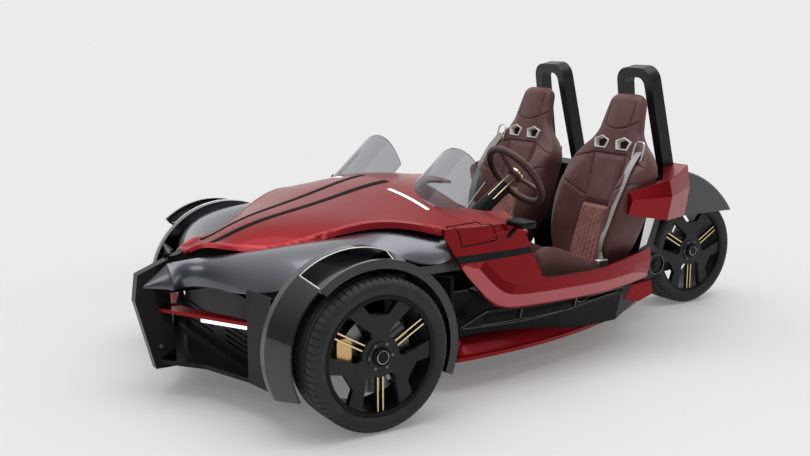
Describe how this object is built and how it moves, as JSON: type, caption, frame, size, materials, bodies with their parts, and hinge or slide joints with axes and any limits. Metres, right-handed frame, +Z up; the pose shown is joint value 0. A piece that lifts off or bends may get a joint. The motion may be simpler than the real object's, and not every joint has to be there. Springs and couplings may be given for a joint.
{
  "type": "open two-seat electric three-wheeler",
  "caption": "Open side-by-side three-wheeler with two steered front wheels, a driven rear wheel, bucket seats, roll hoops and low screens.",
  "frame": {"origin": "on the ground under the middle of the overall length and width", "axes": "+X forward, +Y to the driver's left, +Z up"},
  "size_m": [3.3449, 1.744, 1.3094],
  "materials": {
    "red_paint": "candy red lacquer",
    "gloss_black": "gloss black",
    "satin_black": "satin black moulding",
    "case_grey": "cast case",
    "graphite": "satin graphite",
    "hoop_black": "satin black powder coat",
    "steel": "machined",
    "disc_steel": "ground",
    "gold_metal": "gold anodised",
    "rim_grey": "dark satin grey",
    "tyre": "road rubber",
    "leather": "brown leather",
    "smoked_glass": "smoked",
    "lamp": "white diffuser"
  },
  "bodies": {
    "chassis": {"hood": "red_paint", "side_panels": "red_paint", "side_skirts": "red_paint", "front_blades": "red_paint", "quarter_pods": "red_paint", "front_fenders": "gloss_black", "nose_shoulders": "gloss_black", "front_fascia": "gloss_black", "mirrors": "gloss_black", "side_bands": "gloss_black", "floor_tub": "satin_black", "arch_liners": "satin_black", "side_ducts": "satin_black", "dashboard": "satin_black", "nose_grille": "satin_black", "rear_body": "satin_black", "battery_pack": "case_grey", "drive_motor": "case_grey", "rear_fender": "graphite", "roll_hoops": "hoop_black", "wishbones": "hoop_black", "swingarm": "hoop_black", "rack_housing": "steel", "pedals": "steel", "brake_calliper_rear": "gold_metal", "seat_left": "leather", "seat_right": "leather", "windscreens": "smoked_glass", "head_lamps": "lamp", "cowl_lamps": "lamp"},
    "wheel_front_left": {"rim_front_left": "rim_grey", "tyre_front_left": "tyre", "brake_disc_front_left": "disc_steel"},
    "wheel_front_right": {"rim_front_right": "rim_grey", "tyre_front_right": "tyre", "brake_disc_front_right": "disc_steel"},
    "wheel_rear": {"rim_rear": "rim_grey", "tyre_rear": "tyre", "brake_disc_rear": "disc_steel"},
    "upright_left": {"knuckle_left": "steel", "brake_calliper_left": "gold_metal"},
    "upright_right": {"knuckle_right": "steel", "brake_calliper_right": "gold_metal"},
    "steering": {"steering_wheel": "leather"},
    "rack": {"tie_rods": "steel"}
  },
  "joints": [
    {"name": "steering_turn", "type": "hinge", "parent": "chassis", "child": "steering", "pos_m": [0.0175, 0.337, 0.832], "axis": [0.809, 0, -0.5878], "range_deg": [-360, 360]},
    {"name": "steer_left", "type": "hinge", "parent": "chassis", "child": "upright_left", "pos_m": [1.0175, 0.74, 0.295], "axis": [0, 0, -1], "range_deg": [-30.5, 30.5]},
    {"name": "steer_right", "type": "hinge", "parent": "chassis", "child": "upright_right", "pos_m": [1.0175, -0.74, 0.295], "axis": [0, 0, -1], "range_deg": [-30.5, 30.5]},
    {"name": "rack_slide", "type": "slide", "parent": "chassis", "child": "rack", "axis": [0, 1, 0], "range_m": [-0.059, 0.059]},
    {"name": "spin_front_left", "type": "hinge", "parent": "upright_left", "child": "wheel_front_left", "pos_m": [1.0175, 0.77, 0.295], "axis": [0, 1, 0], "continuous": true},
    {"name": "spin_front_right", "type": "hinge", "parent": "upright_right", "child": "wheel_front_right", "pos_m": [1.0175, -0.77, 0.295], "axis": [0, 1, 0], "continuous": true},
    {"name": "spin_rear", "type": "hinge", "parent": "chassis", "child": "wheel_rear", "pos_m": [-1.3825, 0, 0.29], "axis": [0, 1, 0], "continuous": true}
  ],
  "couplings": [
    {"joint": "steer_left", "follows": "steering_turn", "ratio": 0.083333},
    {"joint": "steer_right", "follows": "steering_turn", "ratio": 0.083333},
    {"joint": "rack_slide", "follows": "steering_turn", "m_per_rad": 0.0093}
  ]
}
